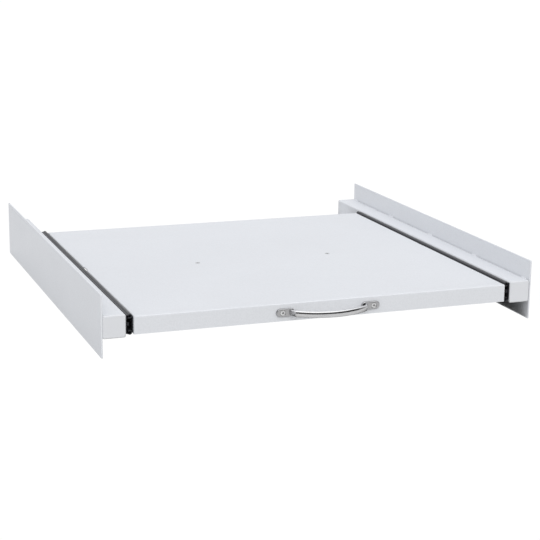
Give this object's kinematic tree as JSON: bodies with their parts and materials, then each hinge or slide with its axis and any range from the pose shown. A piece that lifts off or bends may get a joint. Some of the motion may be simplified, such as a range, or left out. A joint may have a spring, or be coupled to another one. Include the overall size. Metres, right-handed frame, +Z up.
{
  "type": "appliance stacking frame with pull-out shelf",
  "caption": "Low white steel stacking frame: side rails with gripping plates carry a pull-out shelf on black ball-bearing slides, with a bow handle on its front lip.",
  "frame": {"origin": "centre of the overall box at its bottom: on the plane through the side plates' lower edges, midway between the plates and midway from the handle's crest to the rails' rear ends", "axes": "+Z up, -Y towards the user (the handle's side), +X to the user's right; the left half mirrors the right half across the YZ plane"},
  "size_m": [0.604, 0.633, 0.082],
  "materials": {
    "rail_paint": "satin",
    "shelf_paint": "satin",
    "cap_plastic": "satin",
    "slide_black": "satin",
    "cage_steel": "satin",
    "ball_steel": "polished",
    "lever_plastic": "matte",
    "bumper_rubber": "matte",
    "fastener_steel": "polished",
    "rivet_metal": "satin",
    "handle_metal": "satin"
  },
  "bodies": {
    "frame": {"left_side_plate": "rail_paint", "left_rail_tube": "rail_paint", "left_front_end_cap": "cap_plastic", "left_rear_end_cap": "cap_plastic", "left_tack_welds": "rail_paint", "left_slide_channel": "slide_black", "left_channel_screws": "fastener_steel", "left_rear_bumper": "bumper_rubber", "right_side_plate": "rail_paint", "right_rail_tube": "rail_paint", "right_front_end_cap": "cap_plastic", "right_rear_end_cap": "cap_plastic", "right_tack_welds": "rail_paint", "right_slide_channel": "slide_black", "right_channel_screws": "fastener_steel", "right_rear_bumper": "bumper_rubber", "front_cross_strap": "rail_paint", "rear_cross_strap": "rail_paint", "cross_strap_welds": "rail_paint"},
    "shelf": {"shelf_tray": "shelf_paint", "deck_stiffener": "shelf_paint", "stiffener_rivets": "rivet_metal", "handle": "handle_metal", "handle_screws": "fastener_steel", "handle_nuts": "fastener_steel", "left_slide_runner": "slide_black", "left_runner_screws": "fastener_steel", "left_runner_nuts": "fastener_steel", "left_lever_pin": "fastener_steel", "right_slide_runner": "slide_black", "right_runner_screws": "fastener_steel", "right_runner_nuts": "fastener_steel", "right_lever_pin": "fastener_steel"},
    "left_cage": {"left_ball_cage": "cage_steel", "left_bearing_balls": "ball_steel"},
    "right_cage": {"right_ball_cage": "cage_steel", "right_bearing_balls": "ball_steel"},
    "left_lever": {"left_release_lever": "lever_plastic"},
    "right_lever": {"right_release_lever": "lever_plastic"}
  },
  "joints": [
    {"name": "shelf_slide", "type": "slide", "parent": "frame", "child": "shelf", "axis": [0, -1, 0], "range_m": [0, 0.35]},
    {"name": "left_cage_slide", "type": "slide", "parent": "frame", "child": "left_cage", "axis": [0, -1, 0], "range_m": [0, 0.175]},
    {"name": "right_cage_slide", "type": "slide", "parent": "frame", "child": "right_cage", "axis": [0, -1, 0], "range_m": [0, 0.175]},
    {"name": "left_lever_press", "type": "hinge", "parent": "shelf", "child": "left_lever", "pos_m": [-0.26365, 0.0245, 0.0407], "axis": [1, 0, 0], "range_deg": [0, 4], "stiffness_Nm_per_rad": 0.05},
    {"name": "right_lever_press", "type": "hinge", "parent": "shelf", "child": "right_lever", "pos_m": [0.26365, 0.0245, 0.0407], "axis": [1, 0, 0], "range_deg": [0, 4], "stiffness_Nm_per_rad": 0.05}
  ],
  "couplings": [
    {"joint": "left_cage_slide", "follows": "shelf_slide", "ratio": 0.5},
    {"joint": "right_cage_slide", "follows": "shelf_slide", "ratio": 0.5}
  ]
}
